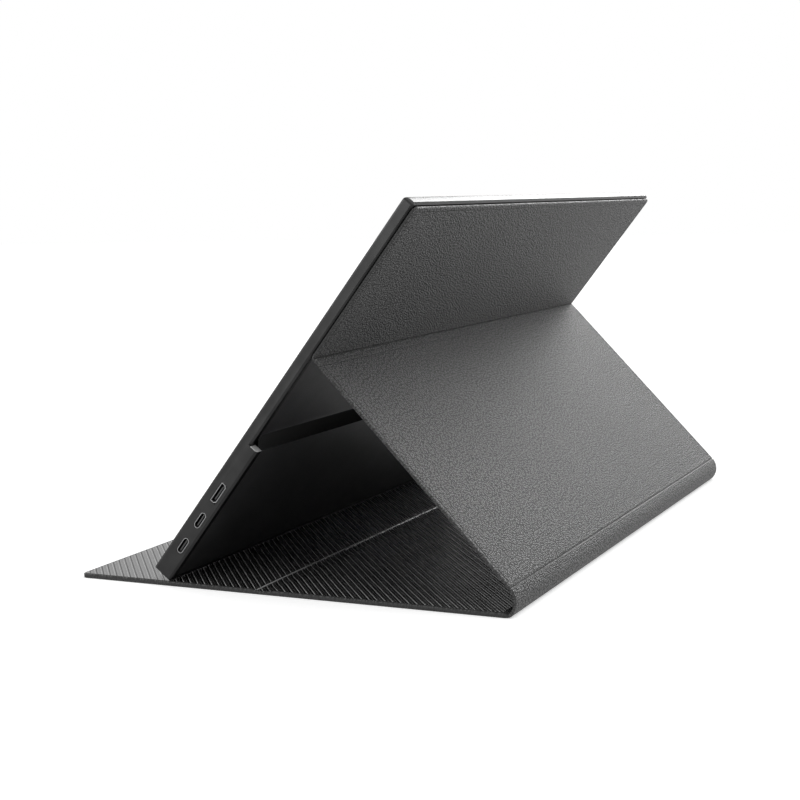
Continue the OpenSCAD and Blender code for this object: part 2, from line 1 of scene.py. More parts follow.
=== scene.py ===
"""Dresses the portable monitor and its folded leather cover, and sets the light and the camera."""
import json
from math import asin, cos, pi, radians, sin, tan

import bmesh
import bpy
import numpy as np
from mathutils import Matrix, Vector


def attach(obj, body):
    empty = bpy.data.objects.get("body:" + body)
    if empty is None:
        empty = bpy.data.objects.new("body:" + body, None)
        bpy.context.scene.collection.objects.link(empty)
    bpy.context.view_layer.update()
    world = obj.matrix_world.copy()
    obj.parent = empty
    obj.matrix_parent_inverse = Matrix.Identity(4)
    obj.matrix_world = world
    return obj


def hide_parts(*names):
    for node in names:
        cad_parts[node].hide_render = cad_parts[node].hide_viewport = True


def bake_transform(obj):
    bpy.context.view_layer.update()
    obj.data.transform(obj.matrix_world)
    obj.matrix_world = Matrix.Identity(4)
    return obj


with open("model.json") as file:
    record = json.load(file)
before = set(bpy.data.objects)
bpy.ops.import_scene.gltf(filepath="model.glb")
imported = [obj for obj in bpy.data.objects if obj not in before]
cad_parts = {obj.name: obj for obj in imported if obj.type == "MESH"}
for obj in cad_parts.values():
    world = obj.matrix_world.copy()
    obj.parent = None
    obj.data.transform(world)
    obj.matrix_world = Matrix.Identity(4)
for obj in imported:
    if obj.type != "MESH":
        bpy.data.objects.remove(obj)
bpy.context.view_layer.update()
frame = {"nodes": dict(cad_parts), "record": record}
MM = 0.001

# Camera: where it stands, its turn, tilt and roll in radians, and its lens in millimetres
EYE = (0.79306, 0.35733, 0.18130)
YAW, PITCH, ROLL = 0.44359, 0.12677, -0.02629
LENS = 70.05

# The cover and the monitor, in millimetres. Seen from the side, a place is (y, z).
LEAN = radians(51.6)
HALF_W = 178.0
PANEL_T, BASE_T, SKIN_T, HEM = 1.6, 2.2, 0.4, 1.0
FRONT_LEN, FOLD_LEN, REAR_LEN = 98.2, 10.9, 116.2
STRUT_LEN, BACK_LEN = 135.6, 84.4
# The rounded spine: its radius, the turn from its middle to the heel and to the crease in degrees, and how far its
# centre lies inside the heel
SPINE_R, HEEL_ANG, CREASE_ANG, HEEL_IN = 9.3, 52.5, 42.5, 3.6
# How far the soft folds reach: degrees of the spine at the heel and at the crease, then millimetres of the strut and
# the back panel at the main fold and of the strut at the crease
HEEL_BACK, CREASE_BACK = 7.0, 6.0
FOLD_REACH, BACK_FOLD, CREASE_REACH = 6.0, 2.2, 3.0
# The free corners' radius, and the depth of the pressed line
COVER_R, LINE_DEPTH = 3.0, 0.2
# The height of the thick part, and how far the ports lie behind the glass
THICK_H, PORT_T = 84.0, 5.68
BASE_LEN = FRONT_LEN + FOLD_LEN + REAR_LEN
HEEL_Y = BASE_LEN / 2
SPINE_C = np.array([HEEL_Y - HEEL_IN, SPINE_R * sin(radians(HEEL_ANG))])
CREASE = SPINE_C + SPINE_R * np.array([cos(radians(CREASE_ANG)), sin(radians(CREASE_ANG))])
UP_SCREEN = np.array([cos(LEAN), sin(LEAN)])
OUT_BACK = np.array([sin(LEAN), -cos(LEAN)])
# Where the outer faces of the strut and the back panel meet, and the lower edge of the glass
FOLD = np.array([22.62713, 112.0800])
FOOT = np.array([-69.13948, 8.213019])
STRUT_ANG = asin((FOLD[1] - CREASE[1]) / STRUT_LEN)
DOWN_STRUT = np.array([cos(STRUT_ANG), -sin(STRUT_ANG)])
OUT_STRUT = np.array([sin(STRUT_ANG), cos(STRUT_ANG)])


# ---- Colours and nodes ----

def tint(hex_code):
    """An sRGB hex colour as linear RGBA: c/12.92 below 0.04045, else ((c+0.055)/1.055)^2.4."""
    parts = [int(hex_code[i:i + 2], 16) / 255 for i in (1, 3, 5)]
    return tuple(c / 12.92 if c <= 0.04045 else ((c + 0.055) / 1.055) ** 2.4 for c in parts) + (1.0,)


def put(tree, kind, settings=None, inputs=None):
    """Adds a node, sets its properties, and gives each named input a value or a link."""
    new = tree.nodes.new(kind)
    for key, value in (settings or {}).items():
        setattr(new, key, value)
    for key, value in (inputs or {}).items():
        socket = new.inputs[key]
        if isinstance(value, bpy.types.NodeSocket):
            tree.links.new(value, socket)
        else:
            socket.default_value = value
    return new


def blank(name):
    """A material with an empty node tree."""
    made = bpy.data.materials.new(name)
    made.use_nodes = True
    made.node_tree.nodes.clear()
    return made, made.node_tree


def solid(name):
    """A material with an empty node tree, and the place on its piece in metres."""
    made, tree = blank(name)
    return made, tree, put(tree, "ShaderNodeTexCoord").outputs["Object"]


def calc(tree, operation, *values):
    """The result of a Math node, each value a number or a socket."""
    return put(tree, "ShaderNodeMath", {"operation": operation}, dict(enumerate(values))).outputs[0]


def vector(tree, operation, *values, result=0):
    """The result of a Vector Math node: 0 for a vector, 1 for a number."""
    return put(tree, "ShaderNodeVectorMath", {"operation": operation}, dict(enumerate(values))).outputs[result]


def stored(tree, name, kind="Fac"):
    """What the points of a piece store under a name."""
    return put(tree, "ShaderNodeAttribute", {"attribute_name": name}).outputs[kind]


def ramp(tree, value, low, high, out_low=0.0, out_high=1.0):
    """A value carried from one range smoothly to another."""
    return put(tree, "ShaderNodeMapRange", {"interpolation_type": "SMOOTHSTEP", "clamp": True},
               {"Value": value, "From Min": low, "From Max": high,
                "To Min": out_low, "To Max": out_high}).outputs[0]


def between(tree, share, low, high):
    """A mix of two colours, each a hex code or a socket."""
    low, high = (tint(c) if isinstance(c, str) else c for c in (low, high))
    return put(tree, "ShaderNodeMix", {"data_type": "RGBA"}, {0: share, 6: low, 7: high}).outputs[2]


def noise(tree, where, width_mm, detail=2.0, rough=0.5):
    """Noise whose blotches are about width_mm across."""
    return put(tree, "ShaderNodeTexNoise", {},
               {"Vector": where, "Scale": 1 / (width_mm * MM), "Detail": detail, "Roughness": rough}).outputs["Fac"]


def blotched(tree, where, width_mm, dark, light):
    """Two near colours in soft blotches about width_mm across."""
    return between(tree, ramp(tree, noise(tree, where, width_mm), 0.3, 0.7), dark, light)


def relief(tree, height, depth_mm, strength=1.0):
    """The normal of a surface whose fine relief is depth_mm deep."""
    return put(tree, "ShaderNodeBump", {},
               {"Height": height, "Distance": depth_mm * MM, "Strength": strength}).outputs[0]


def close(tree, sockets):
    """Ends a tree in a Principled shader with the given sockets."""
    shader = put(tree, "ShaderNodeBsdfPrincipled", {}, sockets)
    put(tree, "ShaderNodeOutputMaterial", {}, {"Surface": shader.outputs[0]})


def mottled(name, dark, light, width_mm, rough, metal=0.0, bump_mm=0.0, bump_width_mm=None, ior=1.5):
    """A moulded, rolled or milled finish: two near colours in soft blotches, uneven gloss and fine relief."""
    made, tree, where = solid(name)
    fine = noise(tree, where, bump_width_mm or width_mm / 4, 3.0)
    sockets = {"Base Color": blotched(tree, where, width_mm, dark, light), "Metallic": metal, "IOR": ior,
               "Roughness": ramp(tree, fine, 0.2, 0.8, rough - 0.05, rough + 0.05)}
    if bump_mm:
        sockets["Normal"] = relief(tree, fine, bump_mm)
    close(tree, sockets)
    return made


def pebbled_leather(name, dark, light):
    """Coated split leather, embossed with pebbles: each cell is a low dome, half as wide again across the cover as
    along it, and fine grit over it all. The colour follows the domes: a painted highlight on each top and painted
    shade in the crease between cells, with random blotches over it. The pattern lies on the flat hide, in the
    attribute "hide". The attribute "pressed" smooths the relief on the lines pressed along edges and folds. It also
    paints them, and the panels' shaded sides, near black as painted shade."""
    made, tree = blank(name)
    where = stored(tree, "hide", "Vector")
    grain_mm, drift_mm, drift_shift = 1.0, 2.4, (0.5 * MM, 0.4 * MM, 0.0)
    drift = put(tree, "ShaderNodeTexNoise", {}, {"Vector": where, "Scale": 1 / (drift_mm * MM), "Detail": 1.0})
    bent = vector(tree, "MULTIPLY_ADD", drift.outputs["Color"], drift_shift, where)
    cell = put(tree, "ShaderNodeTexVoronoi", {"feature": "F1", "voronoi_dimensions": "2D"},
               {"Vector": vector(tree, "MULTIPLY", bent, (0.66, 1.0, 1.0)), "Scale": 1 / (grain_mm * MM),
                "Randomness": 0.85}).outputs["Distance"]
    dome = ramp(tree, cell, 0.08, 0.66, 1.0, 0.0)
    grit = noise(tree, where, 0.6, 2.0, 0.6)
    # The colour follows the dome: painted highlight on each pebble's top, painted shade in the creases, and random
    # blotches
    tone_and_shading = dome
    for fac, weight in [(noise(tree, where, 60.0), 0.3), (noise(tree, where, drift_mm, 1.0), 1.1), (grit, 1.6)]:
        tone_and_shading = calc(tree, "MULTIPLY_ADD", fac, weight, tone_and_shading)
    base = between(tree, ramp(tree, tone_and_shading, 1.3, 2.65), dark, light)
    # Painted shade: the pressed lines, the folds and the shaded sides are painted near black
    pressed = stored(tree, "pressed")
    close(tree, {"Base Color": between(tree, ramp(tree, pressed, 0.0, 1.0, 0.0, 0.9), base, "#080808"),
                 "Roughness": ramp(tree, dome, 0.0, 1.0, 0.68, 0.46), "IOR": 1.5,
                 "Normal": relief(tree, calc(tree, "MULTIPLY_ADD", grit, 0.9, dome), 0.4,
                                  ramp(tree, pressed, 0.2, 1.0, 1.0, 0.1))})
    return made


def pressed_lining(name, land, line, ridge_highlight):
    """Coated fabric with raised diagonal lines: smooth black lands that mirror what is low behind them, matt grey
    lines, where the attribute "pressed" is 1, and painted shade, matt and near black, in the grooves, where it is -1.
    A second attribute paints a pale, matt highlight along the ridge of the base's fold."""
    made, tree, where = solid(name)
    fine = noise(tree, where, 0.5, 3.0, 0.6)
    patch = ramp(tree, noise(tree, where, 22.0), 0.3, 0.7, 0.85, 1.0)
    painted_ridge_highlight, level = stored(tree, "painted_ridge_highlight"), stored(tree, "pressed")
    crest = ramp(tree, level, 0.25, 0.85)
    # Painted shade: the groove beside each line is painted near black and matt
    groove = ramp(tree, level, -0.7, -0.1, 1.0, 0.0)
    low = between(tree, groove, between(tree, fine, land, "#141414"), "#040404")
    lined = between(tree, calc(tree, "MULTIPLY", crest, patch), low, line)
    matt = calc(tree, "MAXIMUM", calc(tree, "MAXIMUM", crest, groove), painted_ridge_highlight)
    # Painted highlight: the ridge of the base's fold is painted pale and matt
    close(tree, {"Base Color": between(tree, ramp(tree, painted_ridge_highlight, 0.0, 1.0), lined, ridge_highlight),
                 "Roughness": ramp(tree, matt, 0.0, 1.0, 0.17, 0.9), "IOR": 1.5,
                 "Normal": relief(tree, fine, 0.02, 0.5)})
    return made


def how_far(tree, where, axis):
    """How far a place lies along an axis, given as (y, z)."""
    return vector(tree, "DOT_PRODUCT", where, (0, *axis), result=1)


def on_ledge(tree, where, down_mm, up_mm, behind_mm):
    """1 on the ledge of the thick part, from down_mm below its edge to up_mm above it and from behind_mm behind the
    glass, else 0."""
    up = how_far(tree, where, UP_SCREEN)
    edge, glass = UP_SCREEN @ FOOT + THICK_H, OUT_BACK @ FOOT
    above = ramp(tree, up, (edge - down_mm - 0.05) * MM, (edge - down_mm) * MM)
    below = ramp(tree, up, (edge + up_mm) * MM, (edge + up_mm + 0.05) * MM, 1.0, 0.0)
    behind = ramp(tree, how_far(tree, where, OUT_BACK), (glass + behind_mm) * MM, (glass + behind_mm + 0.1) * MM)
    return calc(tree, "MULTIPLY", calc(tree, "MULTIPLY", above, below), behind)


def textured_abs(name, dark, light, ledge_shade_colour):
    """Spark-eroded ABS: nearly black, with a dull even shine, and painted shade, matt and near black, on the slope of
    the ledge.
    """
    made, tree, where = solid(name)
    fine = noise(tree, where, 0.5, 3.0)
    # Painted shade: the slope of the ledge is painted near black and matt
    ledge_shade = on_ledge(tree, where, down_mm=0.1, up_mm=8.0, behind_mm=5.6)
    rough = ramp(tree, fine, 0.2, 0.8, 0.29, 0.39)
    close(tree, {"Base Color": between(tree, ledge_shade, blotched(tree, where, 12.0, dark, light), ledge_shade_colour), "IOR": 1.5,
                 "Roughness": calc(tree, "MAXIMUM", rough, ledge_shade), "Normal": relief(tree, fine, 0.02)})
    return made


def aluminium_with_ledge_highlight(name, dark, light, bright):
    """Bead-blasted and anodised aluminium: an even, soft grey shine without streaks, and a painted highlight on the
    ledge of the thick part, pale grey and mostly not metal."""
    made, tree, where = solid(name)
    fine = noise(tree, where, 0.3, 3.0)
    # Painted highlight: the ledge of the thick part is painted pale
    ledge_highlight = on_ledge(tree, where, down_mm=0.2, up_mm=0.2, behind_mm=5.8)
    close(tree, {"Base Color": between(tree, ledge_highlight, blotched(tree, where, 9.0, dark, light), bright),
                 "Metallic": ramp(tree, ledge_highlight, 0.0, 1.0, 1.0, 0.2),
                 "Roughness": ramp(tree, fine, 0.2, 0.8, 0.36, 0.44), "Normal": relief(tree, fine, 0.012)})
    return made


def port_steel(name, mouth_x, recess_shade, tongue):
    """Nickel-plated stamped steel round the mouth; deeper in, painted shade, matt and near black, round a grey tongue
    in the middle.
    """
    made, tree, where = solid(name)
    across = put(tree, "ShaderNodeSeparateXYZ", {}, {"Vector": where}).outputs["X"]
    # Painted shade: deeper than the mouth the port is painted near black and not metal, but for its tongue
    plated = ramp(tree, across, (mouth_x - 0.35) * MM, (mouth_x - 0.25) * MM)
    middle = (OUT_BACK @ FOOT + PORT_T) * MM
    off = calc(tree, "ABSOLUTE", calc(tree, "SUBTRACT", how_far(tree, where, OUT_BACK), middle))
    inside = between(tree, ramp(tree, off, 0.4 * MM, 0.45 * MM), tongue, recess_shade)
    rub = noise(tree, where, 0.8, 3.0)
    close(tree, {"Base Color": between(tree, plated, inside, between(tree, rub, "#8f8f90", "#a5a5a6")),
                 "Metallic": plated, "Roughness": ramp(tree, rub, 0.3, 0.7, 0.3, 0.45)})
    return made


def screen_glass(name):
    """Hard-coated polarising film over the black panel: nearly black, with a fine matt haze over its shine."""
    made, tree, where = solid(name)
    close(tree, {"Base Color": between(tree, noise(tree, where, 60.0), "#07080a", "#0b0c0f"),
                 "Roughness": ramp(tree, noise(tree, where, 0.25), 0.2, 0.8, 0.20, 0.28),
                 "IOR": 1.5, "Coat Weight": 0.25, "Coat Roughness": 0.2})
    return made


def circuit_board(name):
    """Glass-epoxy board under green solder mask, with the copper's tracks showing as paler lines."""
    made, tree, where = solid(name)
    tracks = put(tree, "ShaderNodeTexBrick", {"offset": 0.37, "squash": 1.0},
                 {"Vector": where, "Scale": 1 / (4.0 * MM), "Mortar Size": 0.04, "Color1": tint("#11492c"),
                  "Color2": tint("#0e3f27"), "Mortar": tint("#2d7a4b")}).outputs["Color"]
    close(tree, {"Base Color": tracks, "IOR": 1.5,
                 "Roughness": ramp(tree, noise(tree, where, 1.5), 0.2, 0.8, 0.3, 0.45)})
    return made


FINISH = {
    # Pebbled leather: painted highlight on the pebbles' tops and painted shade in their creases; pressed lines, folds
    # and shaded sides are painted near black as shade
    "skin_leather": pebbled_leather("pebbled_leather", "#191919", "#4e4e4e"),
    # Black lands and pale grey lines; the last colour is a painted highlight on the ridge of the base's fold
    "lining_leather": pressed_lining("ribbed_lining", "#0c0c0c", "#cccccc", "#b4b4b4"),
    # The pale grey is a painted highlight on the ledge of the thick part
    "frame_aluminium": aluminium_with_ledge_highlight("anodised_aluminium", "#303030", "#353535", "#c8c8c8"),
    # Anodised like the frame, and a little brighter where fingers polish it
    "key_aluminium": mottled("anodised_key", "#424242", "#4a4a4a", 3.0, 0.34, 1.0, 0.01, 0.3),
    # The near black is painted shade on the slope of the ledge
    "shell_black": textured_abs("textured_abs", "#29292a", "#323233", "#020202"),
    "bezel_plastic": mottled("bezel_polycarbonate", "#0d0d0e", "#121213", 10.0, 0.42, 0.0, 0.01, 0.4),
    "screen_glass": screen_glass("coated_polariser"),
    # Opal polyester sheet: milky white and matt
    "diffuser_film": mottled("opal_polyester", "#e6e7e8", "#efeff0", 20.0, 0.6),
    # Cast acrylic light guide: clear, shown as a pale blue-grey sheet
    "clear_acrylic": mottled("cast_acrylic", "#cfd8dc", "#dbe3e6", 18.0, 0.12, 0.0, 0.0, None, 1.49),
    # Flexible strip with phosphor-coated diodes: warm pale yellow
    "led_yellow": mottled("phosphor_strip", "#e9dfa2", "#f3ecc0", 2.0, 0.4),
    # Rolled stainless sheet: cool grey with a dull shine
    "tray_steel": mottled("rolled_steel", "#8c8e91", "#9a9c9f", 14.0, 0.35, 1.0, 0.01, 0.6),
    "board_green": circuit_board("solder_mask"),
    # Polyimide film: clear amber
    "flex_amber": mottled("polyimide_film", "#a86a18", "#bd7d26", 3.0, 0.3),
    # Flat cable jacket: plain grey vinyl
    "cable_grey": mottled("vinyl_cable", "#3b3b3e", "#48484b", 3.0, 0.5),
    # The near black is painted shade inside the port, round its grey tongue
    "port_steel": port_steel("nickel_plated_steel", HALF_W - 0.15, "#0b0b0b", "#3c3c3c"),
    # Moulded nylon: black and slightly glossy
    "jack_plastic": mottled("moulded_nylon", "#101011", "#17171a", 3.0, 0.35),
    "speaker_plastic": mottled("speaker_box_abs", "#1a1a1b", "#232325", 4.0, 0.5, 0.0, 0.02, 0.5),
    # Zinc-plated steel: bluish grey
    "plate_steel": mottled("zinc_plated_steel", "#a2a5a8", "#b1b4b7", 5.0, 0.32, 1.0, 0.01, 0.4),
    "screw_steel": mottled("screw_steel", "#9c9da0", "#adaeb1", 1.5, 0.28, 1.0, 0.01, 0.3),
    # Closed-cell foam: charcoal and quite matt
    "foam_black": mottled("closed_cell_foam", "#1c1c1d", "#2b2b2c", 1.2, 0.9, 0.0, 0.1, 0.6),
    # Grey board stiffener: fibrous and matt
    "core_board": mottled("grey_board", "#7a705f", "#8b8070", 2.0, 0.9, 0.0, 0.04, 0.5),
    # Nickel-plated magnet: bright and smooth
    "magnet_nickel": mottled("nickel_plated_magnet", "#b4b2ae", "#c2c0bc", 4.0, 0.22, 1.0),
}


# ---- Meshes ----

# Edges that turn by more degrees than this are crisp: any piece's, and a ribbed sheet's
CRISP, RIB_CRISP = 32, 12


def make_piece(name, points, faces, slot, body=None, crisp=CRISP):
    """A new piece from points in millimetres, its normals made to agree and its flat edges kept crisp."""
    mesh = bpy.data.meshes.new(name)
    mesh.from_pydata((np.asarray(points).reshape(-1, 3) * MM).tolist(), [], faces)
    shape = bmesh.new()
    shape.from_mesh(mesh)
    bmesh.ops.recalc_face_normals(shape, faces=shape.faces)
    shape.to_mesh(mesh)
    shape.free()
    return place_piece(name, mesh, slot, body, crisp)


def place_piece(name, mesh, slot, body, crisp=CRISP):
    """Puts a mesh into the scene with its finish and its body, smooth but for its crisp edges."""
    mesh.shade_smooth()
    mesh.set_sharp_from_angle(angle=radians(crisp))
    piece = bpy.data.objects.new(name, mesh)
    bpy.context.scene.collection.objects.link(piece)
    mesh.materials.clear()
    mesh.materials.append(FINISH[slot])
    if body:
        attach(piece, body)
    return piece


def loop_faces(rows, columns, closed, caps):
    """Quads of a grid of rows and columns; closed joins each row's ends, and caps close the first and last row."""
    last = columns if closed else columns - 1
    r, c = np.meshgrid(np.arange(rows - 1), np.arange(last), indexing="ij")
    near, far = r * columns + c, r * columns + (c + 1) % columns
    faces = np.stack([near, far, far + columns, near + columns], -1).reshape(-1, 4).tolist()
    if caps:
        faces += [list(range(columns))[::-1], list(range((rows - 1) * columns, rows * columns))]
    return faces


def rounded_rings(rings, steps=7):
    """Rounded rectangles: (half width, low end, high end, low radius, high radius) each, as rows of (x, v)."""
    turn = np.linspace(0, pi / 2, steps)
    w, lo, hi, r_lo, r_hi = (np.asarray(rings, float)[:, i:i + 1] for i in range(5))
    corners = [(w - r_lo, lo + r_lo, r_lo, -pi / 2), (w - r_hi, hi - r_hi, r_hi, 0.0),
               (-w + r_hi, hi - r_hi, r_hi, pi / 2), (-w + r_lo, lo + r_lo, r_lo, pi)]
    return (np.concatenate([cx + r * np.cos(turn + a) for cx, _, r, a in corners], 1),
            np.concatenate([cv + r * np.sin(turn + a) for _, cv, r, a in corners], 1))


def flat_to_space(x, v, h, start, along, inward):
    """A point v along a panel and h into it from its outer face, as (x, y, z)."""
    return np.stack([x, start[0] + v * along[0] + h * inward[0], start[1] + v * along[1] + h * inward[1]], -1)


def mark(piece, name, share):
    """Stores a share at each point for its material, 1 being full: how far a line is pressed, which the leather
    paints as shade, or the painted highlight on the base fold's ridge. On ribs, "pressed" is 1 on a line and -1 in a
    groove, which the lining paints black as shade."""
    piece.data.attributes.new(name, "FLOAT", "POINT").data.foreach_set("value", share.ravel().astype(np.float32))


def lay_flat(piece, across, along):
    """Stores each point's place on the flat hide in metres, so that the grain follows the cover round its folds."""
    flat = np.stack([across, along, np.zeros_like(along)], -1) * MM
    piece.data.attributes.new("hide", "FLOAT_VECTOR", "POINT").data.foreach_set("vector", flat.astype("f").ravel())


def round_edge(thick):
    """A cover sheet's rounded long edge from its outer to its inner face, as (inset, depth). The thin panels' edges
    are rounder than the base's."""
    outer_r = 0.78 if thick < 1.8 else 0.5
    inner_r = min(outer_r, thick - outer_r)
    turn = np.linspace(0, pi / 2, 6)
    return ([(outer_r * (1 - sin(a)), outer_r * (1 - cos(a))) for a in turn]
            + [(inner_r * (1 - cos(a)), thick - inner_r * (1 - sin(a))) for a in turn])


def rim_profile(thick):
    """The panel's edge from the middle of its outer face to its inner face, as rows of (inset, depth).
    The outer face has a pressed line 2.6 mm in, then come the rounded edge, the turned hem and the step down to the
    lining's seat."""
    outer = [(14.0, 0.0), (6.0, 0.0), (3.3, 0.0), (2.95, 0.06), (2.7, LINE_DEPTH), (2.5, LINE_DEPTH), (2.25, 0.06),
             (1.9, 0.0)]
    seat = [(HEM - 0.12, thick), (HEM, thick - 0.1), (HEM, SKIN_T), (14.0, SKIN_T)]
    return np.array(outer + round_edge(thick) + seat)


def panel_tray(body, v0, v1, thick, free_end, place, hide, painted_shade_side=False):
    """A cover panel: rings of rounded rectangles that shrink with the rim profile's inset on the two long sides and
    on the free end, and stay square where a fold carries on. hide is where v = 0 lies on the flat hide and which way
    v runs there. The pressed line is painted dark as shade, by its depth. The thick base's sides and the hem beside
    its lining are painted dark as shade. A thin panel's are painted so only when asked, as the shadow in the gap
    beside it."""
    profile = rim_profile(thick)
    inset, depth = profile[:, 0], profile[:, 1]
    in_seat = (inset >= HEM) & (depth > SKIN_T / 2) & (depth < thick - 0.05)
    fold_inset = np.where(inset > 3.5, inset, np.where(in_seat, HEM, 0))
    hi = v1 - (inset if free_end else fold_inset)
    square = np.full_like(inset, 0.02)
    r_hi = np.maximum(COVER_R - inset, 0.3) if free_end else square
    x, v = rounded_rings(np.stack([HALF_W - inset, v0 + fold_inset, hi, square, r_hi], 1))
    points = flat_to_space(x, v, depth[:, None], *place)
    faces = loop_faces(len(profile), x.shape[1], True, True)
    piece = make_piece(body + "_cover", points, faces, "skin_leather", body)
    # Painted shade: darker the deeper the pressed line's groove, and dark on the shaded sides and the hem
    line_shade = np.where((inset > 2) & (inset < 3.2), depth / LINE_DEPTH, 0)
    side = (inset < 0.45) & (depth > 0.3) & ((depth < thick - 0.45) | painted_shade_side)
    edge = (side | ((inset > 0.55) & (depth > thick - 0.01))) & (painted_shade_side or thick > 2)
    mark(piece, "pressed", np.repeat(np.where(edge, 1.0, line_shade), x.shape[1]))
    lay_flat(piece, x + np.sign(x) * depth[:, None], hide[0] + hide[1] * v)
    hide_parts(body + "_skin")


# The lining's lines: their distance, their turn from the cover's width, how far they stand up, how deep the grooves
# between them are, and where a cross-section has its points, as shares of the distance
RIB_PITCH, RIB_TURN = 3.1, radians(51)
RIB_RISE, GROOVE_DEPTH, RIB_HALF, GROOVE_AT = 0.13, 0.11, 0.08, -0.27
RIB_STEPS = np.array([-0.5, -0.465, -0.43, -0.36, GROOVE_AT, -0.18, -RIB_HALF, -0.04, 0.0, 0.04, RIB_HALF,
                      0.43, 0.465])


def rib_depth(p):
    """Depth of the lining below its raised lines, and a mark: 1 up on a line, half on the lower line midway between
    two of them, 0 on the land and -1 down in the groove beside each line, where the lining paints shade. Each is a
    raised cosine, a sixth of the pitch wide."""
    phase = (p / RIB_PITCH + 0.5) % 1.0 - 0.5
    crest, low, groove = (0.5 * (1 + np.cos(np.clip(np.abs(off) / RIB_HALF, 0, 1) * pi))
                          for off in (phase, 0.5 - np.abs(phase), phase - GROOVE_AT))
    up = crest + 0.5 * low
    return RIB_RISE * (1 - up) + GROOVE_DEPTH * groove, up - groove


def ribbed_sheet(name, s0, s1, route, middle=(0.5,), body=None, node=None, ridge=None):
    """Lining with diagonal ribs: rows run along the ribs, p across them and q from edge to edge of the sheet.
    s = s_low(p) + q (s_high(p) - s_low(p)) and x = (p + s sin a) / cos a, and the route carries s into space. q has
    steps at both edges and at the shares in middle. Without a ridge the ribs fade out at the sides; with one, where
    it stands up."""
    half, c, t = HALF_W - HEM, cos(RIB_TURN), sin(RIB_TURN)
    low, high = -half * c - s1 * t, half * c - s0 * t
    k = np.arange(np.floor(low / RIB_PITCH), np.ceil(high / RIB_PITCH) + 1)
    rows = (k[:, None] + RIB_STEPS[None, :]).ravel() * RIB_PITCH
    rows = np.concatenate([rows, [low + 0.02, high - 0.02, -half * c - s0 * t, half * c - s1 * t]])
    rows = np.unique(np.round(rows[(rows >= low + 0.02) & (rows <= high - 0.02)], 4))
    s_low = np.maximum(s0, (-half * c - rows) / t)
    s_high = np.minimum(s1, (half * c - rows) / t)
    run = (s_high - s_low)[:, None]
    near = np.minimum(np.array([0.0, 0.25]) / run, [0.0, 0.04])
    q = np.concatenate([near, np.broadcast_to(middle, (len(rows), len(middle))), 1 - near[:, ::-1]], 1)
    s = s_low[:, None] + q * run
    x = (rows[:, None] + s * t) / c
    deep, crest = rib_depth(rows)
    ridge_highlight = 0 * s if ridge is None else ridge(s)
    level = np.clip((half - np.abs(x)) / 0.3, 0, 1) if ridge is None else 1 - ridge_highlight
    points = route(x, s, deep[:, None] * level)
    faces = loop_faces(len(rows), q.shape[1], False, False)
    piece = make_piece(name, points, faces, "lining_leather", body, RIB_CRISP)
    # The ridge's share flattens the ribs there and carries the lining's painted highlight
    mark(piece, "painted_ridge_highlight", ridge_highlight)
    mark(piece, "pressed", crest[:, None] * level)
    wall = piece.modifiers.new("backing", "SOLIDIFY")
    wall.thickness, wall.offset, wall.use_even_offset = 0.16 * MM, -1.0, True
    if node:
        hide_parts(node)
    return piece


def band_loop(thick, seat):
    """A fold's cross-section: a strip as wide as the cover with rounded edges, as (x, depth), and behind its hem a
    seat for the lining, if it has one."""
    side = round_edge(thick)
    if seat:
        side += [(HEM - 0.12, thick), (HEM, thick - 0.1), (HEM, thick - seat)]
    inset, h = np.array(side).T
    x = HALF_W - inset
    return np.concatenate([x, -x[::-1]]), np.concatenate([h, h[::-1]])


def fold_band(name, line, inward, thick, node, hide, press=0.0, slim=0.0, seat=0.0):
    """A soft fold: the cross-section carried along a line in Y and Z, with its inward normals. press is how far the
    outer face is pressed in at each point of the line, slim how much thinner the fold is there, and hide where the
    line begins and ends on the flat hide."""
    x, h = band_loop(thick, seat)
    press, slim = (np.broadcast_to(value, len(line))[:, None] for value in (press, slim))
    share = h / thick
    deep = h + press * (1 - share) - slim * share
    points = np.stack([np.broadcast_to(x, deep.shape), line[:, 0:1] + deep * inward[:, 0:1],
                       line[:, 1:2] + deep * inward[:, 1:2]], -1)
    piece = make_piece(name, points, loop_faces(len(line), len(x), True, True), "skin_leather")
    # Painted shade: a thick band's sides, and a fold's pressed line and slit by their depth, are painted dark
    edge = (np.abs(x) > HALF_W - 0.45) & (h > 0.3) & (h < thick - 0.25) & (thick > 1.8)
    mark(piece, "pressed", np.maximum(press * (share < 0.5) / LINE_DEPTH, edge).clip(0, 1))
    run = np.concatenate([[0], np.cumsum(np.linalg.norm(np.diff(line, axis=0), axis=1))])
    along = hide[0] + run / run[-1] * (hide[1] - hide[0])
    lay_flat(piece, np.broadcast_to(x + np.sign(x) * h, deep.shape), np.broadcast_to(along[:, None], deep.shape))
    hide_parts(node)
    return piece


def blended(piece, body_a, body_b, start, end):
    """Bakes a piece's placement into its points. The two bodies, and start and end, both as (y, z) in millimetres,
    are not used.
    """
    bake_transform(piece)


def eased_node(node, width_mm, slot, body):
    """A copy of a rigid node with its triangles merged and its sharp edges eased, as a machined edge is."""
    mesh = frame["nodes"][node].data.copy()
    shape = bmesh.new()
    shape.from_mesh(mesh)
    bmesh.ops.remove_doubles(shape, verts=shape.verts, dist=2e-6)
    bmesh.ops.dissolve_limit(shape, angle_limit=radians(1), verts=shape.verts, edges=shape.edges)
    bmesh.ops.recalc_face_normals(shape, faces=shape.faces)
    shape.to_mesh(mesh)
    shape.free()
    mesh.name = node + "_eased"
    piece = place_piece(node + "_eased", mesh, slot, body)
    edge = piece.modifiers.new("eased", "BEVEL")
    edge.width, edge.segments, edge.limit_method = width_mm * MM, 2, "ANGLE"
    edge.angle_limit, edge.harden_normals = radians(40), True
    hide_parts(node)


# ---- The cover ----

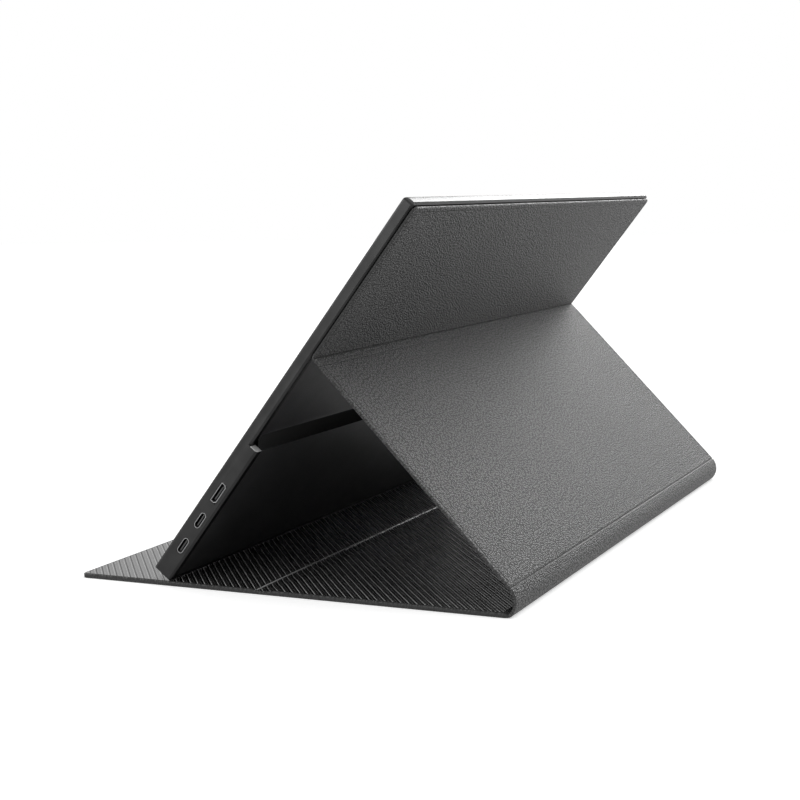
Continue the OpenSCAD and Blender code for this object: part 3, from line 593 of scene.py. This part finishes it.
# Flat panels: where each starts, which way it runs and which way is into it, as (y, z)
FRONT = (np.array([-HEEL_Y + FRONT_LEN, 0.0]), np.array([-1.0, 0.0]), np.array([0.0, 1.0]))
BASE = (np.array([-HEEL_Y, 0.0]), np.array([1.0, 0.0]), np.array([0.0, 1.0]))
STRUT = (FOLD, DOWN_STRUT, -OUT_STRUT)
BACK = (FOLD, UP_SCREEN, -OUT_BACK)
SPINE_A0 = radians(HEEL_BACK - HEEL_ANG)
SPINE_A1 = radians(CREASE_ANG - CREASE_BACK)

# Where pieces start on the flat lining, from the base's front edge to the back panel's end
LINING_GAP, LINING_DROP = 4.0, 0.04
REAR_S0 = FRONT_LEN + FOLD_LEN
SPINE_S0 = BASE_LEN + LINING_GAP
SPINE_S1 = SPINE_S0 + (SPINE_A1 - SPINE_A0) * (SPINE_R - PANEL_T)
STRUT_S0 = SPINE_S1 + LINING_GAP
BACK_S0 = STRUT_S0 + STRUT_LEN

# Where pieces start on the flat hide, from the main fold down the strut, round the spine and under the base
CREASE_LEN, HEEL_LEN = 3.9, 8.6
HIDE_CREASE = STRUT_LEN - CREASE_REACH
HIDE_SPINE = HIDE_CREASE + CREASE_LEN
HIDE_HEEL = HIDE_SPINE + SPINE_R * (SPINE_A1 - SPINE_A0)
HIDE_BASE = HIDE_HEEL + HEEL_LEN + BASE_LEN


def on_spine(radius, angle):
    """A point of the rounded spine at a radius and an angle, as (y, z)."""
    angle = np.asarray(angle, float)
    return np.stack([SPINE_C[0] + radius * np.cos(angle), SPINE_C[1] + radius * np.sin(angle)], -1)


def lining_on(place, thick, flip=0.0):
    """The route of a flat panel's lining, whose lines stay just below the turned hem. flip is where s ends, if the
    panel runs against it."""
    start, along, inward = place

    def route(x, s, deep):
        v = flip - s if flip else s
        return flat_to_space(x, v, thick - LINING_DROP - deep, start, along, inward)
    return route


def spine_route(x, s, deep):
    """The route of the spine's lining: s runs up the inner face of the arc."""
    angle = SPINE_A0 + (s - SPINE_S0) / (SPINE_R - PANEL_T)
    radius = SPINE_R - PANEL_T + LINING_DROP + deep
    return np.stack([x, SPINE_C[0] + radius * np.cos(angle), SPINE_C[1] + radius * np.sin(angle)], -1)


panel_tray("base_front", 0, FRONT_LEN, BASE_T, True, FRONT, (HIDE_BASE - FRONT_LEN, 1))
panel_tray("base_rear", REAR_S0, BASE_LEN, BASE_T, False, BASE, (HIDE_BASE, -1))
panel_tray("strut", FOLD_REACH, STRUT_LEN - CREASE_REACH, PANEL_T, False, STRUT, (0, 1))
# The back panel's sides are painted dark as the shadow in the gap beside the monitor's frame
panel_tray("back_panel", BACK_FOLD, BACK_LEN, PANEL_T, True, BACK, (0, -1), painted_shade_side=True)

for body, s0, s1, route, *middle in [
        ("base_front", HEM, FRONT_LEN - 0.02, lining_on(BASE, BASE_T)),
        ("base_rear", REAR_S0 + 0.02, BASE_LEN - HEM, lining_on(BASE, BASE_T)),
        ("spine", SPINE_S0 + 0.1, SPINE_S1 - 0.1, spine_route, np.linspace(0.1, 0.9, 10)),
        ("strut", STRUT_S0 + CREASE_REACH + HEM, BACK_S0 - FOLD_REACH - HEM, lining_on(STRUT, PANEL_T, BACK_S0)),
        ("back_panel", BACK_S0 + BACK_FOLD + HEM, BACK_S0 + BACK_LEN - HEM,
         lining_on((FOLD - BACK_S0 * UP_SCREEN, UP_SCREEN, -OUT_BACK), PANEL_T))]:
    ribbed_sheet(body + "_ribs", s0, s1, route, *middle, body=body, node=body + "_lining")

# Rounded spine: a tray bent round the arc, its edges as the strut's
spine_turn = np.linspace(SPINE_A0, SPINE_A1, 40)
spine_in = -np.stack([np.cos(spine_turn), np.sin(spine_turn)], -1)
spine_cover = fold_band("spine_cover", on_spine(SPINE_R, spine_turn), spine_in, PANEL_T, "spine_skin",
                        (HIDE_HEEL, HIDE_SPINE), seat=0.8)
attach(spine_cover, "spine")


def main_fold_line():
    """The main fold's outer face, up the strut, round a hollow arc and up the back panel: its line, its inward
    normals, and how far it is pressed in, in a shallow line on the strut and in a slit in the arc."""
    bend_r, line_at, line_width, slit_depth, slit_width = 1.5, 4.5, 0.3, 0.6, 0.32
    turn = pi - LEAN - STRUT_ANG
    tangent = bend_r * tan(turn / 2)
    centre = FOLD + tangent * DOWN_STRUT + bend_r * OUT_STRUT
    sweep = np.linspace(0, turn, 25)
    start = 3 * pi / 2 - STRUT_ANG
    arc_in = np.stack([np.cos(start - sweep), np.sin(start - sweep)], -1)
    down = np.concatenate([np.linspace(FOLD_REACH, 3.0, 16), [2.4, 1.8]])
    ends = np.linspace(BACK_FOLD, tangent, 3)[:-1]
    line = np.concatenate([FOLD + down[:, None] * DOWN_STRUT, centre + bend_r * arc_in,
                           FOLD + ends[::-1, None] * UP_SCREEN])
    inward = np.concatenate([np.repeat(-OUT_STRUT[None], len(down), 0), arc_in, np.repeat(-OUT_BACK[None], 2, 0)])
    below = np.concatenate([down, np.zeros(len(line) - len(down))])
    slit = np.exp(-((sweep - turn / 2) * bend_r / slit_width) ** 2)
    valley = np.concatenate([np.zeros(len(down)), slit, np.zeros(2)])
    return line, inward, 0.22 * np.exp(-((below - line_at) / line_width) ** 2) + slit_depth * valley


line, inward, press = main_fold_line()
main_fold = fold_band("main_fold_web", line, inward, PANEL_T, "main_fold", (FOLD_REACH, -BACK_FOLD), press=press)
blended(main_fold, "strut", "back_panel", FOLD + 1.6 * DOWN_STRUT, FOLD + 1.6 * UP_SCREEN)


def crease_line():
    """The crease above the spine: the strut's outer face, then the spine's arc."""
    down = FOLD + np.linspace(STRUT_LEN - CREASE_REACH, STRUT_LEN - 0.1, 12)[:, None] * DOWN_STRUT
    turn = np.radians(np.linspace(CREASE_ANG - 0.4, CREASE_ANG - CREASE_BACK - 0.8, 10))
    round_in = -np.stack([np.cos(turn), np.sin(turn)], -1)
    return (np.concatenate([down, on_spine(SPINE_R, turn)]),
            np.concatenate([np.repeat(-OUT_STRUT[None], 12, 0), round_in]))


line, inward = crease_line()
from_middle = np.linalg.norm(line - CREASE, axis=1)
crease = fold_band("crease_web", line, inward, PANEL_T - 0.2, "crease_fold", (HIDE_CREASE, HIDE_SPINE),
                   press=0.45 * np.exp(-(from_middle / 0.45) ** 2))
blended(crease, "spine", "strut", on_spine(SPINE_R, SPINE_A1), FOLD + (STRUT_LEN - 1) * DOWN_STRUT)


def heel_line():
    """The heel: a quadratic curve from the spine's arc down to the base's underside."""
    start_ang = SPINE_A0 + radians(0.8)
    first = on_spine(SPINE_R, start_ang)
    fall = np.array([sin(start_ang), -cos(start_ang)])
    knee = first + fall * (first[1] / -fall[1])
    last = np.array([HEEL_Y - 0.2, 0.0])
    q = np.linspace(0, 1, 14)[:, None]
    line = (1 - q) ** 2 * first + 2 * q * (1 - q) * knee + q ** 2 * last
    run = 2 * (1 - q) * (knee - first) + 2 * q * (last - knee)
    run /= np.linalg.norm(run, axis=1)[:, None]
    return line, np.stack([run[:, 1], -run[:, 0]], -1)


line, inward = heel_line()
share = np.linspace(0, 1, len(line))
heel = fold_band("heel_web", line, inward, PANEL_T - 0.2, "heel_fold", (HIDE_HEEL, HIDE_HEEL + HEEL_LEN),
                 slim=-(BASE_T - PANEL_T + 0.2) * share ** 2)
blended(heel, "base_rear", "spine", (HEEL_Y, 0.0), on_spine(SPINE_R, SPINE_A0))


# The ridge on the base's fold: its place and half width as shares of the fold, and its height in millimetres
RIDGE_AT, RIDGE_W, RIDGE_H = 0.18, 0.035, 0.35


def fold_ridge(s):
    """The fold's ridge, 1 on its crest: a bell just behind the front board."""
    return np.exp(-(((s - FRONT_LEN) / FOLD_LEN - RIDGE_AT) / RIDGE_W) ** 2)


def base_fold_shape(y):
    """Fall of the base fold's inner face: level with the boards at both ends, sagging 0.5 mm between them, with the
    ridge standing on it."""
    share = np.clip((y + HEEL_Y - FRONT_LEN) / FOLD_LEN, 0, 1)
    return 0.5 * np.sin(share * pi) ** 2 - RIDGE_H * fold_ridge(y + HEEL_Y)


FOLD_LAP = 0.15
fold_y = np.linspace(-HEEL_Y + FRONT_LEN - FOLD_LAP, -HEEL_Y + REAR_S0 + FOLD_LAP, 24)
base_fold = fold_band("base_fold_web", np.stack([fold_y, 0 * fold_y], -1), np.repeat([[0.0, 1.0]], len(fold_y), 0),
                      BASE_T - 0.3, "base_fold", (HIDE_BASE - FRONT_LEN + FOLD_LAP, HIDE_BASE - REAR_S0 - FOLD_LAP),
                      slim=base_fold_shape(fold_y), seat=0.5)
FOLD_ENDS = ((fold_y[-1], 1.0), (fold_y[0], 1.0))
blended(base_fold, "base_rear", "base_front", *FOLD_ENDS)


def fold_route(x, s, deep):
    """The route of the lining across the base fold, which follows the fold's inner face."""
    y = s - HEEL_Y
    return np.stack([x, y, BASE_T - LINING_DROP - deep - base_fold_shape(y)], -1)


near_ridge = RIDGE_AT + RIDGE_W * np.array([-3, -2, -1.4, -1, -0.6, -0.3, 0, 0.3, 0.6, 1, 1.4, 2, 3])
fold_ribs = ribbed_sheet("base_fold_ribs", FRONT_LEN, REAR_S0, fold_route,
                         np.concatenate([near_ridge, np.linspace(0.35, 0.92, 6)]), ridge=fold_ridge)
blended(fold_ribs, "base_rear", "base_front", *FOLD_ENDS)


# ---- The monitor ----

for node, width, slot, body in [
        ("side_frame", 0.18, "frame_aluminium", "monitor"), ("front_bezel", 0.15, "bezel_plastic", "monitor"),
        ("rear_shell", 0.2, "shell_black", "monitor"), ("power_button", 0.2, "key_aluminium", "power_button"),
        ("menu_rocker", 0.2, "key_aluminium", "menu_rocker"), ("usb_c_upper", 0.06, "port_steel", "monitor"),
        ("usb_c_lower", 0.06, "port_steel", "monitor"), ("hdmi_port", 0.06, "port_steel", "monitor"),
        ("audio_jack", 0.1, "jack_plastic", "monitor")]:
    eased_node(node, width, slot, body)

for entry in frame["record"]["subparts"]:
    shown = frame["nodes"][entry["node"]].data
    shown.materials.clear()
    shown.materials.append(FINISH[entry["material_slot"]])


# ---- Floor, light and camera ----

def seen_directly(tree):
    """1 for camera, mirror and glass rays, 0 for the light that surfaces gather."""
    rays = put(tree, "ShaderNodeLightPath").outputs
    first = calc(tree, "MAXIMUM", rays["Is Camera Ray"], rays["Is Glossy Ray"])
    return calc(tree, "MAXIMUM", first, rays["Is Transmission Ray"])


def white_floor():
    """A large white paper sweep, 0.1 mm under the object."""
    reach, drop = 6, 1e-4
    mesh = bpy.data.meshes.new("floor")
    corners = [(-reach, -reach, -drop), (reach, -reach, -drop), (reach, reach, -drop), (-reach, reach, -drop)]
    mesh.from_pydata(corners, [], [(0, 1, 2, 3)])
    floor = bpy.data.objects.new("floor", mesh)
    bpy.context.scene.collection.objects.link(floor)
    made, tree = blank("white_paper")
    matt = put(tree, "ShaderNodeBsdfDiffuse", {}, {"Color": tint("#f2f2f2")})
    lift = calc(tree, "MULTIPLY", seen_directly(tree), 0.48)
    glow = put(tree, "ShaderNodeEmission", {}, {"Color": (1, 1, 1, 1), "Strength": lift})
    both = put(tree, "ShaderNodeAddShader", {}, {0: matt.outputs[0], 1: glow.outputs[0]})
    put(tree, "ShaderNodeOutputMaterial", {}, {"Surface": both.outputs[0]})
    mesh.materials.append(made)


def shine_panel(name, place, aim, size, power):
    """A square lamp at a place in metres, aimed at a point, that only glossy surfaces show."""
    lamp = bpy.data.lights.new(name, "AREA")
    lamp.shape, lamp.size, lamp.energy = "SQUARE", size, power
    held = bpy.data.objects.new(name, lamp)
    held.location = place
    held.visible_camera = held.visible_diffuse = False
    held.rotation_euler = (Vector(aim) - Vector(place)).to_track_quat("-Z", "Y").to_euler()
    bpy.context.scene.collection.objects.link(held)


def soft_sun(name, toward, spread, strength):
    """An even light from far away, its disc spread degrees wide."""
    lamp = bpy.data.lights.new(name, "SUN")
    lamp.angle, lamp.energy = radians(spread), strength
    held = bpy.data.objects.new(name, lamp)
    held.rotation_euler = Vector(toward).to_track_quat("Z", "Y").to_euler()
    bpy.context.scene.collection.objects.link(held)


def set_world(level):
    """An even white surround: strength 1 where it is seen, and a lower level for the light it gives."""
    world = bpy.data.worlds.new("white_surround")
    bpy.context.scene.world = world
    world.use_nodes = True
    tree = world.node_tree
    tree.nodes.clear()
    strength = put(tree, "ShaderNodeMapRange", {}, {"Value": seen_directly(tree), "To Min": level, "To Max": 1.0})
    sky = put(tree, "ShaderNodeBackground", {}, {"Color": (1, 1, 1, 1), "Strength": strength.outputs[0]})
    put(tree, "ShaderNodeOutputWorld", {}, {"Surface": sky.outputs[0]})


def set_camera():
    """The photograph's camera: forward, right and up from the yaw and pitch, then rolled."""
    forward = Vector((-cos(YAW) * cos(PITCH), -sin(YAW) * cos(PITCH), -sin(PITCH)))
    right = forward.cross(Vector((0, 0, 1))).normalized()
    up = right.cross(forward)
    turned = cos(ROLL) * right + sin(ROLL) * up
    raised = -sin(ROLL) * right + cos(ROLL) * up
    lens = bpy.data.cameras.new("camera")
    lens.lens, lens.sensor_width, lens.clip_start = LENS, 36.0, 0.01
    camera = bpy.data.objects.new("camera", lens)
    camera.matrix_world = Matrix.Translation(EYE) @ Matrix((turned, raised, -forward)).transposed().to_4x4()
    bpy.context.scene.collection.objects.link(camera)
    bpy.context.scene.camera = camera


white_floor()
set_world(0.5)
soft_sun("overhead", (0.1, 0.5, 1.0), 50, 1.2)
shine_panel("side_softbox", (-1.6, 0.26, 0.97), (0, 0.07, 0.18), 0.8, 22)
shine_panel("front_softbox", (2.08, -0.7, 0.61), (0.18, 0.06, 0.18), 0.4, 11)
set_camera()
bpy.context.scene.view_settings.view_transform = "Standard"
